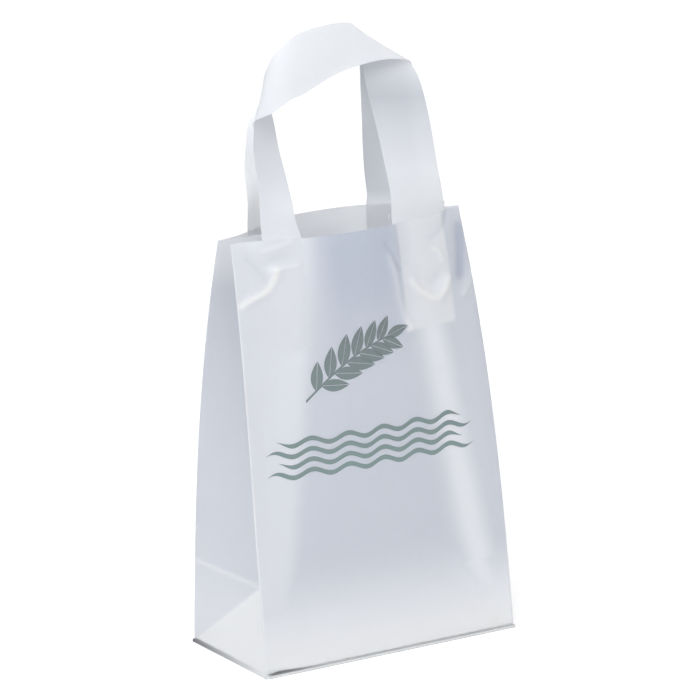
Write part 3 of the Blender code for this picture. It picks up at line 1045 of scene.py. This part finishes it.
def whiteToCamera(material, base, strength):
    # adds the white that those rays see and lamps and film don't receive
    nodes = material.node_tree.nodes
    links = material.node_tree.links
    out = nodes["Material Output"]
    glow = nodes.new("ShaderNodeEmission")
    glow.inputs["Strength"].default_value = strength
    black = nodes.new("ShaderNodeEmission")
    black.inputs["Strength"].default_value = 0.0
    pick = nodes.new("ShaderNodeMixShader")
    links.new(seeingRays(material.node_tree), pick.inputs[0])
    links.new(black.outputs[0], pick.inputs[1])
    links.new(glow.outputs[0], pick.inputs[2])
    add = nodes.new("ShaderNodeAddShader")
    links.new(base.outputs[0], add.inputs[0])
    links.new(pick.outputs[0], add.inputs[1])
    links.new(add.outputs[0], out.inputs["Surface"])


floorMesh = bpy.data.meshes.new("floor")
reach = stageLook["floorReach"]
corners = [(-reach, -reach, 0), (reach, -reach, 0), (reach, reach, 0), (-reach, reach, 0)]
floorMesh.from_pydata(corners, [], [(0, 1, 2, 3)])
floor = bpy.data.objects.new("floor", floorMesh)
bpy.context.scene.collection.objects.link(floor)
floorMaterial = bpy.data.materials.new("paleFloor")
floorMaterial.use_nodes = True
floorShader = floorMaterial.node_tree.nodes["Principled BSDF"]
floorShader.inputs["Base Color"].default_value = (stageLook["floorColour"],) * 3 + (1.0,)
floorShader.inputs["Roughness"].default_value = stageLook["floorRoughness"]
whiteToCamera(floorMaterial, floorShader, stageLook["floorGlow"])
floor.data.materials.append(floorMaterial)

world = bpy.data.worlds.new("studio")
bpy.context.scene.world = world
world.use_nodes = True
sky = world.node_tree.nodes["Background"]
level = world.node_tree.nodes.new("ShaderNodeMix")
level.data_type = "FLOAT"
level.inputs[2].default_value = stageLook["ambient"]
level.inputs[3].default_value = stageLook["backdrop"]
world.node_tree.links.new(seeingRays(world.node_tree), level.inputs[0])
world.node_tree.links.new(level.outputs[0], sky.inputs["Strength"])
sky.inputs["Color"].default_value = (1.0, 1.0, 1.0, 1.0)


def areaLamp(name, place, size, power):
    light = bpy.data.lights.new(name, "AREA")
    light.energy = power
    light.shape = "DISK"
    light.size = size
    lamp = bpy.data.objects.new(name, light)
    lamp.location = place
    lamp.rotation_mode = "QUATERNION"
    lamp.rotation_quaternion = (Vector(stageLook["lampAim"]) - Vector(place)).to_track_quat("-Z", "Y")
    bpy.context.scene.collection.objects.link(lamp)


areaLamp("keyLamp", stageLook["keyPlace"], stageLook["keySize"], stageLook["keyPower"])
areaLamp("fillLamp", stageLook["fillPlace"], stageLook["fillSize"], stageLook["fillPower"])

print("camera")
# the camera of the photograph: tele view from the front left, a little above
cameraView = {
    "azimuth": 29.49,
    "height": 15.37,
    "roll": -2.08,
    "distance": 3.64,
    "pixelsPerMetre": 1409.4,
    "aimHeight": 0.15,
    "aimPixel": (346.8, 432.5),
}


def makeCamera():
    a = math.radians(cameraView["azimuth"])
    e = math.radians(cameraView["height"])
    r = math.radians(cameraView["roll"])
    towards = Vector((-math.sin(a) * math.cos(e), -math.cos(a) * math.cos(e), math.sin(e)))
    back = towards.copy()
    flat = Vector((math.cos(a), -math.sin(a), 0.0))
    up = back.cross(flat)
    right = flat * math.cos(r) + up * math.sin(r)
    up = up * math.cos(r) - flat * math.sin(r)
    focal = cameraView["pixelsPerMetre"] * cameraView["distance"]
    px, py = cameraView["aimPixel"]
    toMiddle = -back + right * ((350.0 - px) / focal) + up * ((py - 350.0) / focal)
    back = -toMiddle.normalized()
    right = (right - back * right.dot(back)).normalized()
    up = back.cross(right)
    data = bpy.data.cameras.new("camera")
    data.sensor_width = 36.0
    data.lens = focal * 36.0 / 700.0
    camera = bpy.data.objects.new("camera", data)
    spot = Vector((0, 0, cameraView["aimHeight"])) + towards * cameraView["distance"]
    turn = Matrix((right, up, back)).transposed()
    camera.matrix_world = Matrix.Translation(spot) @ turn.to_4x4()
    bpy.context.scene.collection.objects.link(camera)
    bpy.context.scene.camera = camera


makeCamera()
bpy.context.scene.view_settings.view_transform = "Standard"
